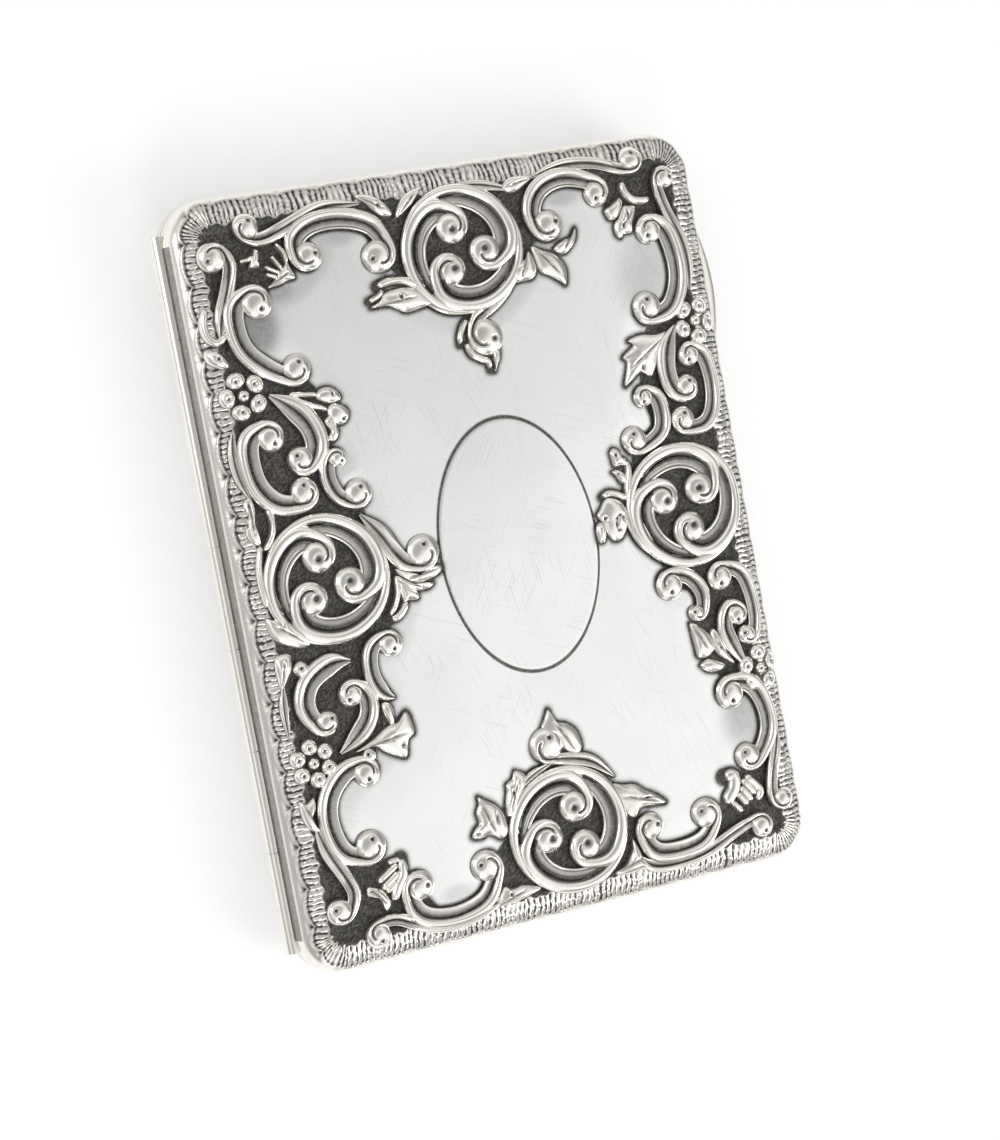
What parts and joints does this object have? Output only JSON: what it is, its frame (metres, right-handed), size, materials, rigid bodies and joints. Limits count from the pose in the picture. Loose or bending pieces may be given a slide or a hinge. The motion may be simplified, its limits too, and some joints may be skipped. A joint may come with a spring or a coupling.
{
  "type": "aide memoire case",
  "caption": "Flat hinged silver case with an embossed scroll front, silk-lined inside, holding a strapped note pad and a pencil in loops.",
  "frame": {"origin": "on the surface under the middle of the case, which lies on its back cover", "axes": "+X across to the opening edge, with the joint at -X; +Y up the front as it is read; +Z out of the front"},
  "size_m": [0.0794, 0.1046, 0.0113],
  "materials": {
    "silver": "polished silver, dark in the hollows",
    "pin": "drawn wire",
    "silk": "watered silk",
    "ribbon": "ribbed silk ribbon",
    "leather": "fine grain",
    "board": "matt",
    "paper": "matt",
    "tape": "bookbinding cloth",
    "pencil": "lacquered",
    "lead": "graphite"
  },
  "bodies": {
    "back": {"back_cover": "silver", "back_joint_bearer": "silver", "back_knuckles": "silver", "hinge_pin": "pin", "bezel": "silver", "bezel_pips": "silver", "back_lining": "silk", "pad_strap": "leather", "notepad_board": "board", "notepad_leaves": "paper", "notepad_tape": "tape", "notepad_staples": "pin", "pencil_loops": "leather"},
    "front": {"front_cover": "silver", "front_joint_bearer": "silver", "front_knuckles": "silver", "front_lining": "silk", "front_pocket": "silk", "stamp_pocket": "silk", "pocket_ribbon": "ribbon"},
    "pencil": {"pencil_barrel": "pencil", "pencil_collar": "silver", "pencil_finial": "silver", "pencil_lead": "lead"}
  },
  "joints": [
    {"name": "cover_hinge", "type": "hinge", "parent": "back", "child": "front", "pos_m": [-0.03845, 0, 0.0058], "axis": [0, -1, 0], "range_deg": [0, 180]},
    {"name": "pencil_slide", "type": "slide", "parent": "back", "child": "pencil", "axis": [0, 1, 0], "range_m": [0, 0.027]}
  ]
}
